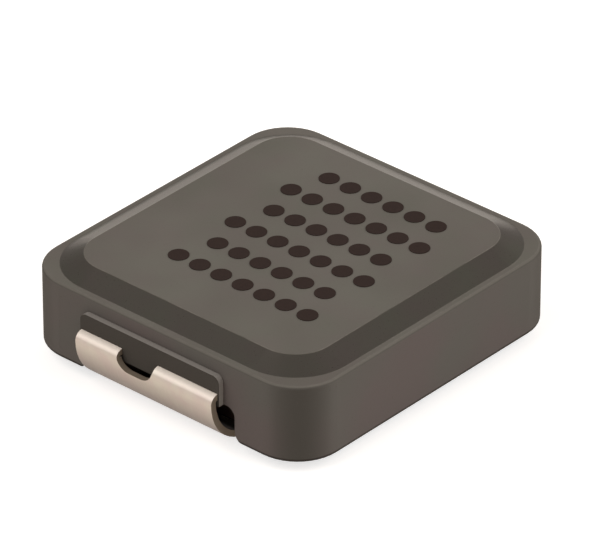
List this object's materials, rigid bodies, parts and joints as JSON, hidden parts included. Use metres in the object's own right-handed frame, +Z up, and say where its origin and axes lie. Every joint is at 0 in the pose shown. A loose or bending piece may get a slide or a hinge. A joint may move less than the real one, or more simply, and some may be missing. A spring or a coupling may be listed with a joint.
{
  "type": "surface-mount power inductor",
  "caption": "Moulded surface-mount power inductor: a flat square powder core with a raised top, a winding inside and a folded strip terminal rolled under each end.",
  "frame": {"origin": "middle of the footprint, on the plane of the two solder pads", "axes": "+X from one terminal to the other, +Y across the core, +Z up away from the board"},
  "size_m": [0.0074, 0.0066, 0.002],
  "materials": {
    "powder_core": "matte pressed iron powder with binder",
    "copper_wire": "enamelled copper",
    "tinned_strip": "satin tin plate on copper",
    "ink": "matte printed ink"
  },
  "bodies": {
    "root": {"moulded_core": "powder_core", "winding": "copper_wire", "terminal_left": "tinned_strip", "terminal_right": "tinned_strip", "ink_dots": "ink"}
  },
  "joints": []
}
